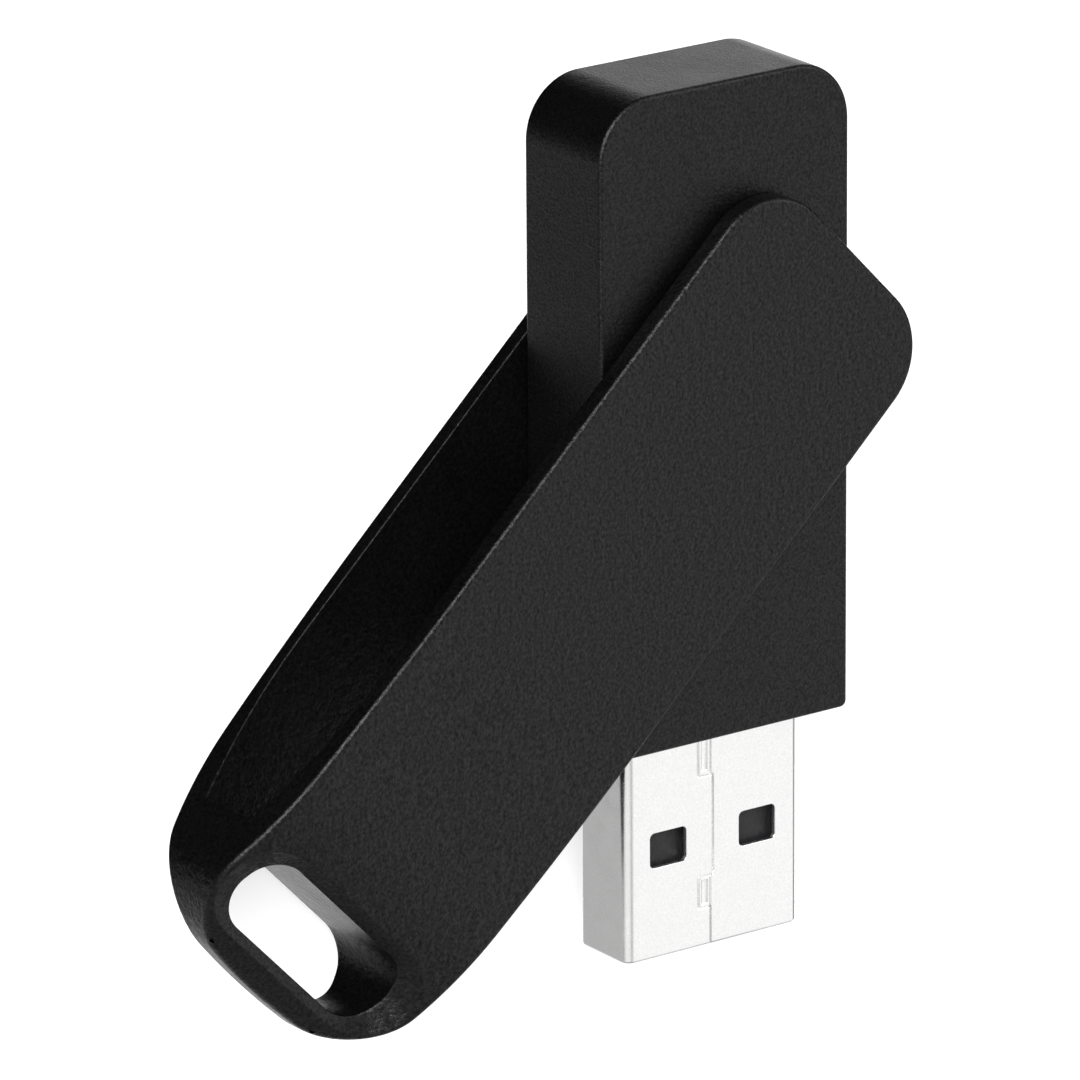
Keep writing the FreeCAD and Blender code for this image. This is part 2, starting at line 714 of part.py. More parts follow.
def make_group(label, blocks):
    """Like pieces in one node, each a solid of its own."""
    group = doc.addObject("Part::Compound", label)
    group.Label = label
    group.Links = [make_block(f"{label}_{index}", *corners) for index, corners in enumerate(blocks)]
    return group


TAIL_END = f"({PLUG_BACK} - contact_tail)"
CONTROLLER_FRONT = f"({TAIL_END} - solder_length - controller_gap)"
CONTROLLER_BACK = f"({CONTROLLER_FRONT} - controller_side)"


def on_board(x, y, length, width, height):
    """Corners of a block that stands on the board's upper face, from its front edge and its middle."""
    return ((f"{x} - {length}", f"{y} - {width} / 2", BOARD_TOP),
            (x, f"{y} + {width} / 2", f"{BOARD_TOP} + {height}"))


def make_electronics():
    """What is soldered to the board: the controller above, the memory below, and small parts."""
    make_block("controller_chip", *on_board(CONTROLLER_FRONT, "0", "controller_side", "controller_side",
                                            "controller_thickness"))
    make_block("crystal_oscillator", *on_board(f"{CONTROLLER_BACK} - 1.5", "3.0", "3.2", "2.5", "0.8"))
    spots = [(f"{CONTROLLER_BACK} - 1.2", "-1.2"), (f"{CONTROLLER_BACK} - 1.2", "-3.6"),
             (f"{CONTROLLER_BACK} - 3.2", "-1.2"), (f"{CONTROLLER_BACK} - 3.2", "-3.6"),
             (f"{CONTROLLER_FRONT} - 1", "4.8"), (f"{CONTROLLER_FRONT} - 1", "-4.8")]
    make_group("capacitors", [on_board(x, y, "1.0", "0.5", "0.5") for x, y in spots])
    spots = [(f"{CONTROLLER_FRONT} - 4", "4.8"), (f"{CONTROLLER_FRONT} - 4", "-4.8"),
             (f"{CONTROLLER_BACK} - 5.5", "-1.2"), (f"{CONTROLLER_BACK} - 5.5", "-3.6")]
    make_group("resistors", [on_board(x, y, "1.0", "0.5", "0.35") for x, y in spots])
    make_group("solder_joints", [on_board(TAIL_END, str(across), "solder_length", "1.2", "0.2")
                                 for across, _ in CONTACTS.values()])


MEMORY_MIDDLE = f"(({BOARD_BACK} + {PLUG_BACK}) / 2)"
MEMORY_TOP = f"({BOARD_UNDERSIDE} - memory_standoff)"


def make_memory():
    """The flash memory under the board and the two rows of gull-wing leads at its short ends."""
    make_block("flash_memory_chip",
               (f"{MEMORY_MIDDLE} - memory_length / 2", "-memory_width / 2",
                f"{MEMORY_TOP} - memory_thickness"),
               (f"{MEMORY_MIDDLE} + memory_length / 2", "memory_width / 2", MEMORY_TOP))
    reach = value("lead_reach")
    metal = value("lead_thickness")
    start = value("memory_length") / 2
    foot = value(BOARD_UNDERSIDE)
    root = value(f"{MEMORY_TOP} - memory_thickness / 2")
    bend = start + reach * 0.35
    profile = [(start, root), (bend, root), (bend, foot - metal), (start + reach, foot - metal),
               (start + reach, foot), (bend - metal, foot), (bend - metal, root + metal),
               (start, root + metal)]
    corners = [Vector(x, -value("lead_width") / 2, z) for x, z in profile]
    lead = Part.Face(Part.makePolygon(corners + corners[:1])).extrude(Vector(0, value("lead_width"), 0))
    count = int((value("memory_width") - 0.5) / value("lead_pitch"))
    leads = []
    for index in range(count):
        place = lead.copy()
        place.translate(Vector(0, (index - (count - 1) / 2) * value("lead_pitch"), 0))
        leads.append(place)
        leads.append(place.mirror(Vector(0, 0, 0), Vector(1, 0, 0)))
    rows = doc.addObject("Part::Feature", "flash_memory_leads")
    rows.Label = "flash_memory_leads"
    rows.Shape = Part.makeCompound(leads)
    rows.Placement = Placement(Vector(value(MEMORY_MIDDLE), 0, value(f"{CLIP_THICKNESS} / 2")), Rotation())


# ---------------------------------------------------------------- the whole drive

make_swivel_clip()
make_body_sleeve()
make_pivot(1, "upper")
make_pivot(-1, "lower")
make_end_cap()
make_plug_shell()
make_plug_insulator()
for name, (across, setback) in CONTACTS.items():
    make_contact(name, across, setback)
make_circuit_board()
make_board_carrier()
make_electronics()
make_memory()
doc.recompute()

for item in doc.Objects:
    if "Invalid" in item.State or "Error" in item.State:
        raise RuntimeError(f"{item.Label} failed: {item.State}")

inner = [link for item in doc.Objects if item.TypeId == "Part::Compound" for link in item.Links]
kinds = ("PartDesign::Body", "Part::Box", "Part::Compound", "Part::Feature")
nodes = [item for item in doc.Objects if item.TypeId in kinds and item not in inner]
for node in nodes:
    if node.Shape.isNull() or not node.Shape.isValid() or not node.Shape.Solids:
        raise RuntimeError(f"{node.Label} has no valid solid")

os.makedirs("parts", exist_ok=True)
for node in nodes:
    node.Shape.exportStep(f"parts/{node.Label}.step")
    print(f"{node.Label}: {len(node.Shape.Solids)} solid, {node.Shape.Volume:.2f} mm3")
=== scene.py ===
import math

import bmesh
import bpy
from mathutils import Matrix, Vector


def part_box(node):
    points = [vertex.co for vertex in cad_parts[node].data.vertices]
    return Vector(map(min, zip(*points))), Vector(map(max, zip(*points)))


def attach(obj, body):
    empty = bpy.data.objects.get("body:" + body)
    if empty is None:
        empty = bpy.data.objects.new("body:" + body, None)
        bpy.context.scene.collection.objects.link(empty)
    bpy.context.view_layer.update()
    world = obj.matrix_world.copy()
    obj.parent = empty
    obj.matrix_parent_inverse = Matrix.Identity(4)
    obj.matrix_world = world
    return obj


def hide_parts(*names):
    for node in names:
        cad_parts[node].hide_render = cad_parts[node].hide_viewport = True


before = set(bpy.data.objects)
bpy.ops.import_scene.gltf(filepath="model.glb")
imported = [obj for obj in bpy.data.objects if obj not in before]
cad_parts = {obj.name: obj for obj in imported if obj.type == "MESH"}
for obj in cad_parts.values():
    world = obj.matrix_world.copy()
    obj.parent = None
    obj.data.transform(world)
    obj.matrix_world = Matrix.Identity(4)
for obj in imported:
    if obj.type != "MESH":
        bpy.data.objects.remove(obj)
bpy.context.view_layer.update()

MM = 0.001


# ---- Studio: a lit white acrylic table inside a white tent, seen from above, past the rounded back.
# Soft bright cards and two black ones stand round it, each placed for the faces that mirror it.

def srgb(code, strength=1.0):
    """A colour written #rrggbb as linear light."""
    parts = [int(code[i:i + 2], 16) / 255 for i in (1, 3, 5)]
    linear = [(p / 12.92 if p <= 0.04045 else ((p + 0.055) / 1.055) ** 2.4) for p in parts]
    return (*[p * strength for p in linear], 1.0)


def add(tree, kind, links=None, **settings):
    """A node with its settings and the sockets or values that feed it."""
    made = tree.nodes.new(kind)
    for name, value in settings.items():
        setattr(made, name, value)
    for name, source in (links or {}).items():
        if isinstance(source, bpy.types.NodeSocket):
            tree.links.new(source, made.inputs[name])
        else:
            made.inputs[name].default_value = source
    return made


def new_material(name):
    """An empty material and its node tree."""
    material = bpy.data.materials.new(name)
    material.use_nodes = True
    material.node_tree.nodes.clear()
    return material, material.node_tree


lens = bpy.data.cameras.new("camera")
lens.lens = 340.5
lens.sensor_width = 36
lens.clip_end = 5
camera = bpy.data.objects.new("camera", lens)
bpy.context.scene.collection.objects.link(camera)
camera_place = Vector((-169.209, -318.515, 436.304)) * MM
upwards = Vector((-0.949067, 0.189012, -0.252084))
across = Vector((0.006709, 0.812019, 0.583593)).normalized()
back = across.cross(upwards).normalized()
camera.matrix_world = (Matrix.Translation(camera_place)
                       @ Matrix((across, back.cross(across), back)).transposed().to_4x4())
bpy.context.scene.camera = camera
bpy.context.scene.view_settings.view_transform = "Standard"

# A hair below the clip, so that the two flat faces don't lie in one plane.
bpy.ops.mesh.primitive_plane_add(size=6, location=(0, 0, -0.02 * MM))
floor = bpy.context.object
floor.name = "table_top"
# Acrylic lit from beneath: plain white with only a soft contact shadow.
acrylic, tree = new_material("lit white acrylic")
grain = add(tree, "ShaderNodeTexNoise", {"Scale": 900.0, "Detail": 3.0})
tooth = add(tree, "ShaderNodeBump", {"Height": grain.outputs[0], "Strength": 0.05, "Distance": 0.0002})
sheet = add(tree, "ShaderNodeBsdfDiffuse", {"Color": srgb("#b4b4b4"), "Roughness": 1.0,
                                            "Normal": tooth.outputs[0]})
lit = add(tree, "ShaderNodeEmission", {"Color": (1, 1, 1, 1), "Strength": 0.62})
both = add(tree, "ShaderNodeAddShader")
tree.links.new(sheet.outputs[0], both.inputs[0])
tree.links.new(lit.outputs[0], both.inputs[1])
add(tree, "ShaderNodeOutputMaterial", {"Surface": both.outputs[0]})
floor.data.materials.append(acrylic)
floor.visible_glossy = False

world = bpy.data.worlds.new("white tent")
bpy.context.scene.world = world
world.use_nodes = True
tree = world.node_tree
tree.nodes.clear()
sky = add(tree, "ShaderNodeTexCoord").outputs["Generated"]


def card(towards, edge, middle, strength, base):
    """A soft round card added to what lies behind it: full inside middle, gone past edge, in degrees."""
    facing = add(tree, "ShaderNodeVectorMath", {0: sky, 1: Vector(towards).normalized()},
                 operation="DOT_PRODUCT")
    fade = add(tree, "ShaderNodeMapRange", {"Value": facing.outputs["Value"],
                                            "From Min": math.cos(math.radians(edge)),
                                            "From Max": math.cos(math.radians(middle)), "To Max": strength},
               interpolation_type="SMOOTHSTEP")
    return add(tree, "ShaderNodeMath", {0: base, 1: fade.outputs[0]}, operation="ADD").outputs[0]


tent_above, tent_below = 0.42, 0.60
# Mirrored by the broad faces, the body's long edge, the dish's end, and the clip's long edge.
above = card((0.30, 0.72, 0.63), 50, 5, 0.88, tent_above)
above = card((0.35, -0.62, 0.70), 46, 14, 0.65, above)
above = card((-0.40, 0.66, 0.62), 26, 8, 3.5, above)
above = card((-0.50, -0.60, 0.62), 30, 12, 14.0, above)
# Mirrored by the body's rounded back, by the clip's closed end, and (black) by the clip's long side.
below = card((-0.22, 0.66, -0.72), 46, 6, 0.8, tent_below)
below = card((0.62, 0.35, -0.70), 36, 8, 0.7, below)
below = card((-0.62, -0.24, -0.74), 60, 30, -1.3, below)
height = add(tree, "ShaderNodeSeparateXYZ", {"Vector": sky})
split = add(tree, "ShaderNodeMapRange", {"Value": height.outputs["Z"], "From Min": -0.25,
                                         "From Max": 0.25}, interpolation_type="SMOOTHSTEP")
glow = add(tree, "ShaderNodeMix", {"Factor": split.outputs[0], "A": below, "B": above})
# A black card at table height, mirrored by the dish's slope beside the key ring bar.
banded = card((-0.10, 0.98, -0.15), 34, 12, -1.0, glow.outputs[0])
bright = add(tree, "ShaderNodeMath", {0: banded, 1: 0.0}, operation="MAXIMUM")
tent = add(tree, "ShaderNodeBackground", {"Color": (1, 1, 1, 1), "Strength": bright.outputs[0]})
add(tree, "ShaderNodeOutputWorld", {"Surface": tent.outputs[0]})


# ---- Body sleeve: one moulded shell, open only at the plug end, with a rounded back.
# Fine-grained black ABS; the bushes are pressed into a bore through each broad wall.

def block(low, high):
    """A cube between two corners, alone and selected."""
    bpy.ops.object.select_all(action="DESELECT")
    low, high = Vector(low), Vector(high)
    bpy.ops.mesh.primitive_cube_add(size=1, location=(low + high) / 2)
    made = bpy.context.object
    made.scale = high - low
    bpy.ops.object.transform_apply(location=True, rotation=True, scale=True)
    return made


def bevel_edges(piece, wanted, width, segments=3):
    """Round the edges whose middle, direction and outward turn in degrees pass a test."""
    bpy.context.view_layer.objects.active = piece
    bpy.ops.object.mode_set(mode="EDIT")
    bpy.ops.mesh.select_mode(type="EDGE")
    bpy.ops.mesh.select_all(action="DESELECT")
    mesh = bmesh.from_edit_mesh(piece.data)
    for edge in mesh.edges:
        start, end = (v.co for v in edge.verts)
        turn = math.degrees(edge.calc_face_angle_signed(0))
        edge.select_set(wanted((start + end) / 2, (end - start).normalized(), turn))
    bmesh.update_edit_mesh(piece.data)
    bpy.ops.mesh.bevel(offset=width, segments=segments, profile=0.5, affect="EDGES")
    bpy.ops.object.mode_set(mode="OBJECT")


def upright(spot, way, turn):
    """An edge that runs through the thickness."""
    return abs(way.z) > 0.9


def apply_all(piece):
    """Apply every modifier on a piece, in order."""
    bpy.context.view_layer.objects.active = piece
    for modifier in list(piece.modifiers):
        bpy.ops.object.modifier_apply(modifier=modifier.name)


def cut_away(piece, cutter):
    """Take a cutter's volume out of a piece."""
    change = piece.modifiers.new("cut", "BOOLEAN")
    change.operation = "DIFFERENCE"
    change.solver = "EXACT"
    change.object = cutter
    apply_all(piece)
    bpy.data.objects.remove(cutter)


def merge(piece, gap):
    """Join points that the cuts left closer than a gap."""
    bpy.context.view_layer.objects.active = piece
    bpy.ops.object.mode_set(mode="EDIT")
    bpy.ops.mesh.select_all(action="SELECT")
    bpy.ops.mesh.remove_doubles(threshold=gap)
    bpy.ops.object.mode_set(mode="OBJECT")


def smooth(piece):
    """Shade the curves smooth and keep the flat faces flat."""
    bpy.ops.object.select_all(action="DESELECT")
    piece.select_set(True)
    bpy.context.view_layer.objects.active = piece
    bpy.ops.object.shade_smooth_by_angle(angle=math.radians(30))
    flats = piece.modifiers.new("flat faces stay flat", "WEIGHTED_NORMAL")
    flats.keep_sharp = True
    apply_all(piece)


def soften(piece, width, segments=2, angle=35):
    """Break the sharp edges that are left."""
    rounding = piece.modifiers.new("soft edges", "BEVEL")
    rounding.width = width
    rounding.segments = segments
    rounding.limit_method = "ANGLE"
    rounding.angle_limit = math.radians(angle)
    rounding.use_clamp_overlap = False
    apply_all(piece)
    smooth(piece)


def finish_piece(piece, name, body, slot, material, *nodes):
    """Name a piece, give it its finish, and stand it in for its plain CAD nodes."""
    piece.name = name
    piece.data.name = name
    piece.data.materials.clear()
    piece.data.materials.append(material)
    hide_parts(*nodes)
    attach(piece, body)


def noise(tree, place, size_mm, detail=2.0, rough=0.5):
    """Cloudy noise whose lumps are about size_mm apart."""
    return add(tree, "ShaderNodeTexNoise", {"Vector": place, "Scale": 1 / (size_mm * MM), "Detail": detail,
                                            "Roughness": rough}).outputs[0]


def bump(tree, height, depth_mm, under=None):
    """Relief of a real depth, on top of any relief under it."""
    links = {"Height": height, "Strength": 1.0, "Distance": depth_mm * MM}
    if under is not None:
        links["Normal"] = under
    return add(tree, "ShaderNodeBump", links).outputs[0]


def spread(tree, value, low, high, start=0.3, end=0.7):
    """A noise value carried over to a range of another quantity."""
    return add(tree, "ShaderNodeMapRange", {"Value": value, "From Min": start, "From Max": end, "To Min": low,
                                            "To Max": high}).outputs[0]


def shades(tree, value, dark, light, start=0.35, end=0.65):
    """A noise value carried over to a run between two colours."""
    ramp = add(tree, "ShaderNodeValToRGB", {"Fac": value})
    first, last = ramp.color_ramp.elements
    first.color, last.color = dark, light
    first.position, last.position = start, end
    return ramp.outputs[0]


def grained(name, tone, gloss, grain_mm, grain_depth_mm, peel_mm, peel_depth_mm, shine=0.3, edge_mm=0.06):
    """A grained plastic or paint: worn-soft edges, slow ripple, sandy grain, and uneven gloss."""
    material, tree = new_material(name)
    place = add(tree, "ShaderNodeTexCoord").outputs["Object"]
    sand = noise(tree, place, grain_mm, 3.0, 0.65)
    edge = add(tree, "ShaderNodeBevel", {"Radius": edge_mm * MM}, samples=6).outputs[0]
    ripple = bump(tree, noise(tree, place, peel_mm), peel_depth_mm, edge)
    shader = add(tree, "ShaderNodeBsdfPrincipled", {
        "Base Color": shades(tree, sand, srgb(tone, 0.6), srgb(tone, 1.6)),
        "Roughness": spread(tree, noise(tree, place, 6.0, 4.0), gloss - 0.05, gloss + 0.05),
        "IOR": 1.45, "Specular IOR Level": spread(tree, sand, shine * 0.5, shine * 1.5),
        "Normal": bump(tree, sand, grain_depth_mm, ripple)})
    add(tree, "ShaderNodeOutputMaterial", {"Surface": shader.outputs[0]})
    return material


sleeve_low, sleeve_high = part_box("body_sleeve")
middle_height = (sleeve_low.z + sleeve_high.z) / 2
back_radius = 3.5 * MM
mouth_radius = 0.4 * MM
edge_radius = 0.25 * MM
wall, end_wall = 0.9 * MM, 1.2 * MM
bore_radius = 2.5 * MM
# How close to a face its own edges lie, for picking them out.
NEAR = 0.01 * MM
sleeve = block(sleeve_low, sleeve_high)
bevel_edges(sleeve, lambda spot, way, turn: upright(spot, way, turn) and spot.x < 0, back_radius, 24)
bevel_edges(sleeve, lambda spot, way, turn: upright(spot, way, turn) and spot.x > sleeve_high.x - NEAR,
            mouth_radius, 6)
bevel_edges(sleeve, lambda spot, way, turn: turn > 60 and abs(way.z) < 0.1, edge_radius, 4)
cap_low, cap_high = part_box("end_cap")
hollow = block((sleeve_low.x + end_wall, cap_low.y, cap_low.z),
               (sleeve_high.x + MM, cap_high.y, cap_high.z))
bevel_edges(hollow, lambda spot, way, turn: upright(spot, way, turn) and spot.x < 0, back_radius - wall, 16)
cut_away(sleeve, hollow)
bpy.ops.mesh.primitive_cylinder_add(vertices=64, radius=bore_radius, depth=20 * MM,
                                    location=(0, 0, middle_height))
cut_away(sleeve, bpy.context.object)
soften(sleeve, 0.06 * MM, 2, 40)
# Black with a dull, very fine spark grain, so that it shines less than the painted clip.
spark_grain = grained("spark-grained black ABS", "#040404", 0.33, 0.16, 0.036, 0.6, 0.016, 0.23)
finish_piece(sleeve, "sleeve", "drive", "sleeve_coat", spark_grain, "body_sleeve")


# ---- Pivot bushes: a flanged ring in each broad wall of the sleeve, on which the clip turns.
# Turned black acetal, pressed in; its face carries fine rings from the lathe.

# Waxy near-black with a faint sheen; its rings, about 0.4 mm apart, are coarser than real tool marks,
# so that they show.
bush_plastic, tree = new_material("turned black acetal")
place = add(tree, "ShaderNodeTexCoord").outputs["Object"]
rings = add(tree, "ShaderNodeTexWave", {"Vector": place, "Scale": 1 / (1.2 * MM), "Distortion": 0.4},
            wave_type="RINGS", rings_direction="Z").outputs[1]
haze = noise(tree, place, 0.8, 3.0)
shader = add(tree, "ShaderNodeBsdfPrincipled", {
    "Base Color": shades(tree, haze, srgb("#101011"), srgb("#18181a")),
    "Roughness": spread(tree, haze, 0.28, 0.40), "Normal": bump(tree, rings, 0.004)})
add(tree, "ShaderNodeOutputMaterial", {"Surface": shader.outputs[0]})


def refinish(material, *nodes):
    """Give carried-over CAD nodes their finish."""
    for node in nodes:
        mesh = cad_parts[node].data
        mesh.materials.clear()
        mesh.materials.append(material)


refinish(bush_plastic, "pivot_bush_upper", "pivot_bush_lower")


# ---- Swivel clip: one zinc die casting, two plates that close to a solid key ring end.
# Black powder coat: slow orange peel under a sandy grain; a shallow dish leads into the ring slot.

def slice_along(piece, places, way=(1, 0, 0)):
    """Cut a piece across at each place along an axis, so that it can be shaped there."""
    bpy.context.view_layer.objects.active = piece
    bpy.ops.object.mode_set(mode="EDIT")
    for place in places:
        bpy.ops.mesh.select_all(action="SELECT")
        bpy.ops.mesh.bisect(plane_co=Vector(way) * place, plane_no=way)
    bpy.ops.object.mode_set(mode="OBJECT")


def steps(low, high, count):
    """Even places from low to high, both ends included."""
    return [low + (high - low) * i / (count - 1) for i in range(count)]


clip_low, clip_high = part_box("swivel_clip")
clip_half = (clip_high.z - clip_low.z) / 2
clip_side = 8.3 * MM
clip_reach = 10.8 * MM
clip_turn = -46.4
open_corner, end_corner = 4.2 * MM, 4.5 * MM
end_bow = 45 * MM
channel_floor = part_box("plug_shell")[1].x + 2.7 * MM
slot_near, slot_far = channel_floor + 0.5 * MM, channel_floor + 4.8 * MM
slot_half, slot_radius = 6.3 * MM, 2.1 * MM
clip_end = slot_far + 1.85 * MM
lean_start, lean_end = channel_floor - 18.6 * MM, channel_floor - 4.1 * MM
lean_drop = 0.45 * MM
lean_radius = ((lean_end - lean_start) ** 2 + lean_drop ** 2) / (2 * lean_drop)
nose_radius = 20 * MM
lean_slope = (lean_end - lean_start) / lean_radius
nose_x = lean_end - nose_radius * lean_slope
nose_z = clip_half - lean_drop - nose_radius * math.sqrt(1 - lean_slope ** 2)
gap_half = (sleeve_high.z - sleeve_low.z) / 2 + 0.45 * MM
bend_start = channel_floor - 10.6 * MM
floor_half = 2.2 * MM
bend_drop = gap_half - floor_half
bend_radius = ((channel_floor - bend_start) ** 2 + bend_drop ** 2) / (2 * bend_drop)


def outer_half(x):
    """Half the clip's thickness: flat, then a slow lean, then the rounded nose."""
    if x <= lean_start:
        return clip_half
    if x <= lean_end:
        return clip_half - lean_radius + math.sqrt(lean_radius ** 2 - (x - lean_start) ** 2)
    return nose_z + math.sqrt(nose_radius ** 2 - (x - nose_x) ** 2)


def inner_half(x):
    """Half the channel's height: flat, then an arc down to the floor."""
    return gap_half if x <= bend_start else gap_half - bend_radius + math.sqrt(
        bend_radius ** 2 - (x - bend_start) ** 2)


clip = block((-clip_reach, -clip_side, -clip_half), (clip_end, clip_side, clip_half))
bevel_edges(clip, lambda spot, way, turn: upright(spot, way, turn) and spot.x < 0, open_corner, 24)
bevel_edges(clip, lambda spot, way, turn: upright(spot, way, turn) and spot.x > clip_end - NEAR,
            end_corner, 24)
slice_along(clip, steps(-clip_side + end_corner, clip_side - end_corner, 13)[1:-1], (0, 1, 0))
corner_start = clip_end - end_corner
for vertex in clip.data.vertices:
    if vertex.co.x > corner_start:
        bow = vertex.co.y ** 2 / (2 * end_bow)
        vertex.co.x -= bow * (vertex.co.x - corner_start) / (clip_end - corner_start)
slice_along(clip, steps(lean_start, lean_end, 14)[:-1] + steps(lean_end, clip_end - 0.5 * MM, 22))
merge(clip, 0.06 * MM)
for vertex in clip.data.vertices:
    vertex.co.z = math.copysign(outer_half(vertex.co.x), vertex.co.z)
bevel_edges(clip, lambda spot, way, turn: turn > 38 and abs(way.z) < 0.8, edge_radius, 4)

channel = block((-clip_reach - MM, -20 * MM, -gap_half), (channel_floor, 20 * MM, gap_half))
slice_along(channel, steps(bend_start, channel_floor, 24)[:-1])
for vertex in channel.data.vertices:
    vertex.co.z = math.copysign(inner_half(vertex.co.x), vertex.co.z)
cut_away(clip, channel)
slot = block((slot_near, -slot_half, -10 * MM), (slot_far, slot_half, 10 * MM))
bevel_edges(slot, upright, slot_radius, 16)
cut_away(clip, slot)
dish_near, dish_far = slot_near - 0.85 * MM, slot_near + 5.35 * MM
dish_middle = (dish_near + dish_far) / 2
dish_tilt = math.asin((dish_middle - nose_x) / nose_radius)
dish_half = (dish_far - dish_near) / 2 / math.cos(dish_tilt)
dish_top, dish_base = 0.5 * MM, -0.8 * MM
rim_half, rim_side = dish_half + 0.75 * MM, 8.8 * MM
# How far the dish's foot draws in from its rim, along the clip and across it.
foot_along, foot_across = 2.1 / 4.08, 6.2 / 8.8
# The same dish on both faces, the second turned over about the clip's length.
for face in (0, math.pi):
    dish = block((-rim_half, -rim_side, dish_base), (rim_half, rim_side, dish_top))
    bevel_edges(dish, upright, 3.6 * MM, 16)
    for vertex in dish.data.vertices:
        if vertex.co.z < 0:
            vertex.co.x *= foot_along
            vertex.co.y *= foot_across
    surface = Vector((dish_middle, 0, outer_half(dish_middle)))
    dish.data.transform(Matrix.Rotation(face, 4, "X") @ Matrix.Translation(surface)
                        @ Matrix.Rotation(dish_tilt, 4, "Y"))
    cut_away(clip, dish)
smooth(clip)
clip.data.transform(Matrix.Translation((0, 0, middle_height))
                    @ Matrix.Rotation(math.radians(clip_turn), 4, "Z"))
# Baked powder has fine sand in a slow orange peel, which breaks the light on it into a leathery mottle.
powder = grained("black powder coat on zinc", "#040404", 0.33, 0.20, 0.045, 0.5, 0.060, 0.24, 0.16)
finish_piece(clip, "clip", "clip", "clip_paint", powder, "swivel_clip")


# ---- Pivot studs: two short pins on the clip's plates, one in each bush.
# Steel blackened in hot oxide, with circular marks on the flat end.

# Dark blue-grey metal that still mirrors a little, clouded where the oxide is thicker.
stud_steel, tree = new_material("blackened steel")
place = add(tree, "ShaderNodeTexCoord").outputs["Object"]
rings = add(tree, "ShaderNodeTexWave", {"Vector": place, "Scale": 1 / (0.6 * MM), "Distortion": 0.8},
            wave_type="RINGS", rings_direction="Z").outputs[1]
bloom = noise(tree, place, 0.5, 4.0)
shader = add(tree, "ShaderNodeBsdfPrincipled", {
    "Metallic": 1.0, "Base Color": shades(tree, bloom, srgb("#26262a"), srgb("#3c3b3b")),
    "Roughness": spread(tree, bloom, 0.32, 0.5), "Normal": bump(tree, rings, 0.003)})
add(tree, "ShaderNodeOutputMaterial", {"Surface": shader.outputs[0]})
refinish(stud_steel, "pivot_stud_upper", "pivot_stud_lower")


# ---- Plug shell: sheet steel folded into a tube, its seam down one broad face held by two staked tabs.
# Bright nickel plate with a satin speckle; the edges roll inwards at the tip and round the windows.

shell_low, shell_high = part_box("plug_shell")
shell_wall = 0.3 * MM
fold_radius = 0.6 * MM
tip = shell_high.x
window_near, window_far = tip - 5.35 * MM, tip - 7.4 * MM
window_place, window_half = 3.07 * MM, 1.25 * MM
shell = block(shell_low, shell_high)
bevel_edges(shell, lambda spot, way, turn: abs(way.x) > 0.9, fold_radius, 10)
bevel_edges(shell, lambda spot, way, turn: turn > 60 and spot.x > tip - NEAR, 0.2 * MM, 5)
mouth = block((shell_low.x - MM, shell_low.y + shell_wall, shell_low.z + shell_wall),
              (tip + MM, shell_high.y - shell_wall, shell_high.z - shell_wall))
bevel_edges(mouth, lambda spot, way, turn: abs(way.x) > 0.9, fold_radius - shell_wall, 6)
cut_away(shell, mouth)
for side in (1, -1):
    window = block((window_far, side * window_place - window_half, -5 * MM),
                   (window_near, side * window_place + window_half, 15 * MM))
    bevel_edges(window, upright, 0.3 * MM, 6)
    cut_away(shell, window)
top = shell_high.z


def groove(start_mm, end_mm, low_mm, high_mm, depth_mm):
    """Press a shallow groove into the broad face: lengths back from the tip, then places across it."""
    cut_away(shell, block((tip - end_mm * MM, low_mm * MM, top - depth_mm * MM),
                          (tip - start_mm * MM, high_mm * MM, top + MM)))


# The seam runs in from the tip, steps round a tab, runs on, and steps round a second tab by the sleeve.
seam, seam_step, tab_side = (-0.22, -0.10), (-0.05, 0.07), (-1.07, -0.95)
stake = (-0.78, -0.38)
groove(-1, 2.3, *seam, 0.10)
groove(2.2, 2.3, -1.00, -0.10, 0.06)
groove(2.3, 4.2, *tab_side, 0.06)
groove(4.1, 4.2, -0.95, 0.07, 0.06)
groove(4.2, 10.0, *seam_step, 0.10)
groove(10.0, 10.1, -1.00, 0.07, 0.06)
groove(10.1, 13.2, *tab_side, 0.06)
groove(10.1, 13.2, *seam, 0.08)
groove(2.3, 4.1, -0.22, -0.13, 0.04)
# A shallow flat struck into each tab, which stakes it to the sheet beneath.
groove(2.5, 3.9, *stake, 0.03)
groove(10.4, 13.2, *stake, 0.03)
merge(shell, 0.005 * MM)
soften(shell, 0.03 * MM, 2, 40)

# Nickel is a warm white metal; a barrel-plated part is satin, with pin-point pits and a few rubbed lines.
nickel, tree = new_material("satin nickel plate")
place = add(tree, "ShaderNodeTexCoord").outputs["Object"]
pits = noise(tree, place, 0.10, 3.0, 0.6)
cloud = noise(tree, place, 0.9, 4.0)
along = add(tree, "ShaderNodeMapping", {"Vector": place, "Scale": (0.06, 1.0, 1.0)}).outputs[0]
rubs = noise(tree, along, 0.07, 2.0, 0.7)
edge = add(tree, "ShaderNodeBevel", {"Radius": 0.06 * MM}, samples=6).outputs[0]
relief = bump(tree, rubs, 0.0004, bump(tree, pits, 0.0012, edge))
shader = add(tree, "ShaderNodeBsdfPrincipled", {
    "Metallic": 1.0, "Base Color": shades(tree, pits, srgb("#dadada"), srgb("#e3e3e2")),
    "Roughness": spread(tree, cloud, 0.2, 0.3), "Normal": relief})
add(tree, "ShaderNodeOutputMaterial", {"Surface": shader.outputs[0]})
finish_piece(shell, "plug_tube", "drive", "plug_nickel", nickel, "plug_shell")


# ---- Plug tongue: one moulded block inside the plug that carries the four contacts.
# Dark grey glass-filled PBT; the glass leaves short pale streaks along the flow.

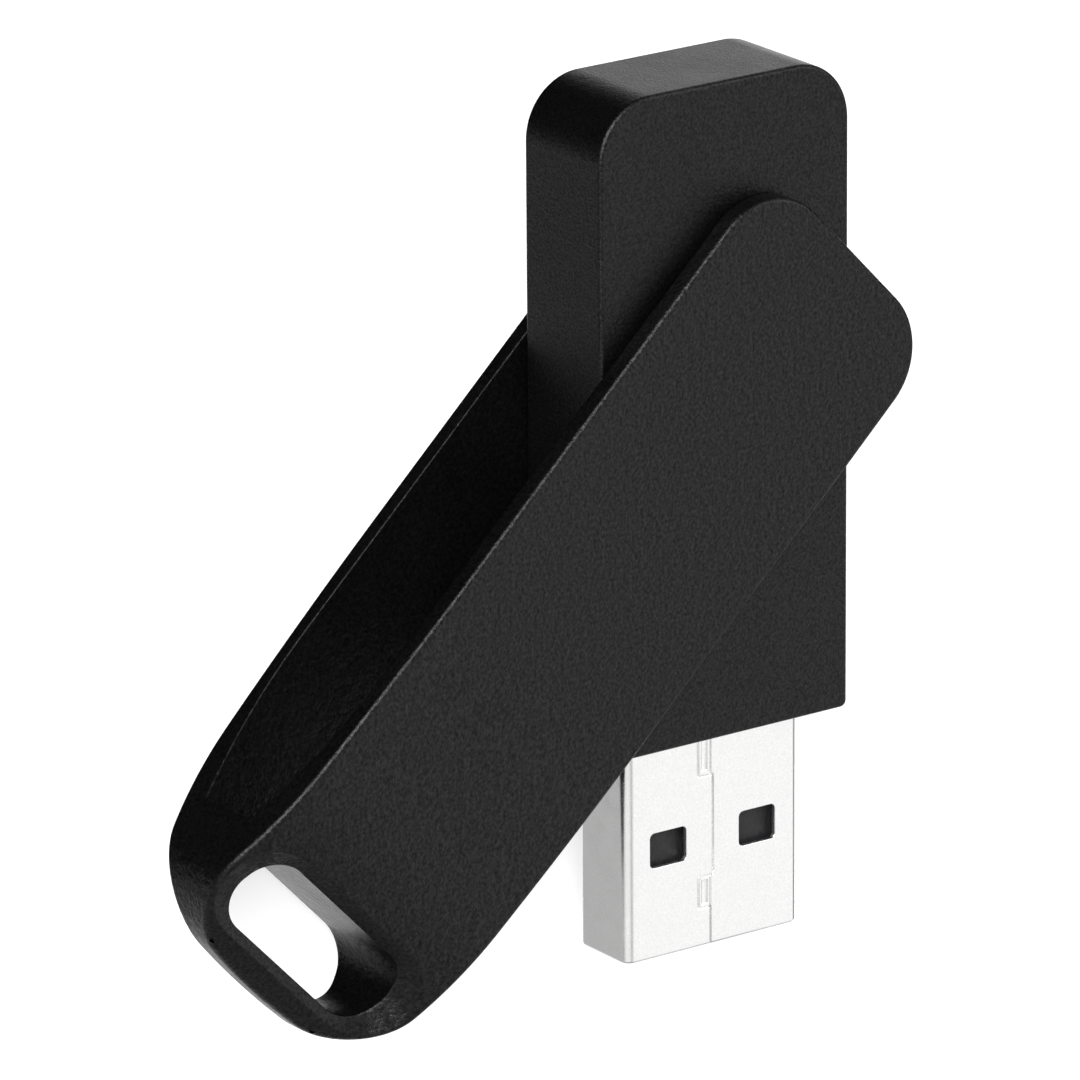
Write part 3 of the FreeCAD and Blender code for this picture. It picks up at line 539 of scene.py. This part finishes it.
# Dull dark grey in the windows, with a dry, slightly fibrous skin.
tongue_plastic, tree = new_material("glass-filled dark grey PBT")
place = add(tree, "ShaderNodeTexCoord").outputs["Object"]
flow = add(tree, "ShaderNodeMapping", {"Vector": place, "Scale": (0.25, 1.0, 1.0)}).outputs[0]
fibres = noise(tree, flow, 0.12, 3.0, 0.7)
skin = noise(tree, place, 0.3, 3.0)
shader = add(tree, "ShaderNodeBsdfPrincipled", {
    "Base Color": shades(tree, fibres, srgb("#0c0c0d"), srgb("#1a1a1c")),
    "Roughness": spread(tree, skin, 0.42, 0.58), "Specular IOR Level": 0.3,
    "Normal": bump(tree, fibres, 0.004, bump(tree, skin, 0.006))})
add(tree, "ShaderNodeOutputMaterial", {"Surface": shader.outputs[0]})
refinish(tongue_plastic, "plug_insulator")


# ---- Contacts: four flat blades in the tongue's grooves, the outer two longer.
# Gold flash over nickel, burnished along the blade where a socket's springs wipe it.

# Thin warm gold, brighter and smoother in fine lines along the blade.
contact_gold, tree = new_material("wiped gold flash")
place = add(tree, "ShaderNodeTexCoord").outputs["Object"]
along = add(tree, "ShaderNodeMapping", {"Vector": place, "Scale": (0.05, 1.0, 1.0)}).outputs[0]
wipes = noise(tree, along, 0.08, 3.0, 0.7)
shader = add(tree, "ShaderNodeBsdfPrincipled", {
    "Metallic": 1.0, "Base Color": shades(tree, wipes, srgb("#d6ad58"), srgb("#f0cf86")),
    "Roughness": spread(tree, wipes, 0.16, 0.34), "Normal": bump(tree, wipes, 0.0008)})
add(tree, "ShaderNodeOutputMaterial", {"Surface": shader.outputs[0]})
refinish(contact_gold, "contact_vbus", "contact_dminus", "contact_dplus", "contact_gnd")


# ---- End cap and board carrier: the cap closes the sleeve round the plug; the carrier holds the board.
# Both are moulded; the cap matches the sleeve and the carrier is plain natural nylon.

# A flatter black than the sleeve's, with almost no ripple.
cap_plastic = grained("black ABS end cap", "#0f0f10", 0.45, 0.16, 0.010, 0.8, 0.006)
refinish(cap_plastic, "end_cap")
# Milky off-white that lets a little light in, swirled where the melt met.
carrier_plastic, tree = new_material("natural nylon")
place = add(tree, "ShaderNodeTexCoord").outputs["Object"]
swirl = noise(tree, place, 2.5, 3.0)
skin = noise(tree, place, 0.2, 2.0)
shader = add(tree, "ShaderNodeBsdfPrincipled", {
    "Base Color": shades(tree, swirl, srgb("#b9b4a6"), srgb("#cdc9bd")),
    "Roughness": spread(tree, skin, 0.45, 0.6), "Normal": bump(tree, skin, 0.005),
    "Subsurface Weight": 0.15, "Subsurface Scale": 0.5 * MM})
add(tree, "ShaderNodeOutputMaterial", {"Surface": shader.outputs[0]})
refinish(carrier_plastic, "board_carrier")


# ---- Circuit board: 0.8 mm glass-epoxy laminate inside the sleeve, soldered to the contacts' tails.
# Green solder mask over the glass weave, darker where copper runs beneath it.

# Glossy green over a faint weave, with sharp-sided areas that stand up where copper lies beneath.
board_mask, tree = new_material("green mask on glass laminate")
place = add(tree, "ShaderNodeTexCoord").outputs["Object"]
warp = add(tree, "ShaderNodeTexWave", {"Vector": place, "Scale": 1 / (6.3 * MM), "Distortion": 0.6},
           bands_direction="X").outputs[1]
weft = add(tree, "ShaderNodeTexWave", {"Vector": place, "Scale": 1 / (6.3 * MM), "Distortion": 0.6},
           bands_direction="Y").outputs[1]
weave = add(tree, "ShaderNodeMath", {0: warp, 1: weft}, operation="ADD").outputs[0]
copper = add(tree, "ShaderNodeTexVoronoi", {"Vector": place, "Scale": 1 / (1.4 * MM)}, distance="CHEBYCHEV",
             feature="F1").outputs["Distance"]
pour = add(tree, "ShaderNodeMath", {0: copper, 1: 0.42}, operation="GREATER_THAN").outputs[0]
shader = add(tree, "ShaderNodeBsdfPrincipled", {
    "Base Color": shades(tree, pour, srgb("#0f5a36"), srgb("#1b7a4b"), 0.0, 1.0),
    "Roughness": spread(tree, noise(tree, place, 0.4), 0.28, 0.42),
    "Normal": bump(tree, pour, 0.02, bump(tree, weave, 0.004))})
add(tree, "ShaderNodeOutputMaterial", {"Surface": shader.outputs[0]})
refinish(board_mask, "circuit_board")


# ---- Chips, leads, solder and crystal: the controller and the flash memory, in moulded epoxy.
# Matt black resin full of silica; the leads are tinned copper and the crystal sits in a pressed can.

chip_resin = grained("silica-filled black epoxy", "#1a1a1b", 0.62, 0.09, 0.006, 1.5, 0.004, 0.4)
refinish(chip_resin, "controller_chip", "flash_memory_chip")


def plated(name, dark, light, low, high, size_mm, depth_mm):
    """A plated or soldered metal: colour, gloss and relief all follow one cloudy noise."""
    material, tree = new_material(name)
    place = add(tree, "ShaderNodeTexCoord").outputs["Object"]
    cloud = noise(tree, place, size_mm, 4.0, 0.6)
    shader = add(tree, "ShaderNodeBsdfPrincipled", {
        "Metallic": 1.0, "Base Color": shades(tree, cloud, srgb(dark), srgb(light)),
        "Roughness": spread(tree, cloud, low, high), "Normal": bump(tree, cloud, depth_mm)})
    add(tree, "ShaderNodeOutputMaterial", {"Surface": shader.outputs[0]})
    return material


# Leads are a soft even silver, solder is brighter and lumpy, and the can is a smooth warm nickel.
lead_tin = plated("matt tin on copper leads", "#b4b6b8", "#d2d4d6", 0.3, 0.45, 0.15, 0.003)
refinish(lead_tin, "flash_memory_leads")
solder = plated("reflowed solder", "#a9abad", "#cfd1d3", 0.15, 0.35, 0.3, 0.01)
refinish(solder, "solder_joints")
crystal_can = plated("pressed crystal can", "#b9b8b5", "#d8d7d4", 0.2, 0.32, 0.4, 0.003)
refinish(crystal_can, "crystal_oscillator")


# ---- Capacitors and resistors: small ceramic blocks in rows on the board's upper side.
# Tan barium titanate, and black film on alumina under a glassy coat.

def fired(name, dark, light, low, high, shine):
    """A fired ceramic body: fine mottle with a slightly pitted skin."""
    material, tree = new_material(name)
    place = add(tree, "ShaderNodeTexCoord").outputs["Object"]
    mottle = noise(tree, place, 0.12, 4.0, 0.65)
    shader = add(tree, "ShaderNodeBsdfPrincipled", {
        "Base Color": shades(tree, mottle, srgb(dark), srgb(light)),
        "Roughness": spread(tree, mottle, low, high), "Specular IOR Level": shine,
        "Normal": bump(tree, mottle, 0.004)})
    add(tree, "ShaderNodeOutputMaterial", {"Surface": shader.outputs[0]})
    return material


# Dry tan blocks beside black ones with a wet shine.
refinish(fired("tan capacitor ceramic", "#8d6f4d", "#b3946c", 0.45, 0.6, 0.4), "capacitors")
refinish(fired("glassy black resistor film", "#141416", "#26262a", 0.18, 0.3, 0.5), "resistors")
